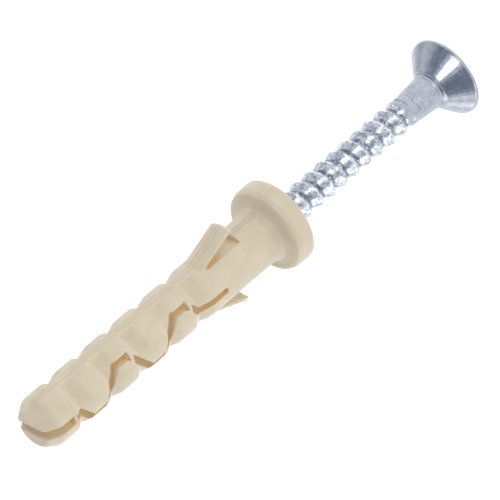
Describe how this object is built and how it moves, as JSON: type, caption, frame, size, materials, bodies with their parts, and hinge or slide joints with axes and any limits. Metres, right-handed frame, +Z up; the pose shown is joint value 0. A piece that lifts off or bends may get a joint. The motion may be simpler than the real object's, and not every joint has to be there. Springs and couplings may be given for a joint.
{
  "type": "hammer fixing",
  "caption": "Collared expansion sleeve with barbed body, side fins and zig-zag slit, and a threaded countersunk nail part-way into it.",
  "frame": {"origin": "on the fixing's axis, in the collar's bearing face, which meets the wall's face", "axes": "+Z up along the axis, from the nail's head, on which the fixing stands, to the sleeve's tip; the two fins point along Y"},
  "size_m": [0.01, 0.0102, 0.0644],
  "materials": {
    "nylon": "moulded nylon, natural cream, matte and slightly translucent",
    "zinc_steel": "rolled and headed carbon steel, thin bluish bright zinc plate"
  },
  "bodies": {
    "sleeve": {"expansion_sleeve": "nylon"},
    "nail": {"nail_screw": "zinc_steel"}
  },
  "joints": [
    {"name": "nail_drive", "type": "slide", "parent": "sleeve", "child": "nail", "axis": [0, 0, 1], "range_m": [0, 0.0263]}
  ]
}
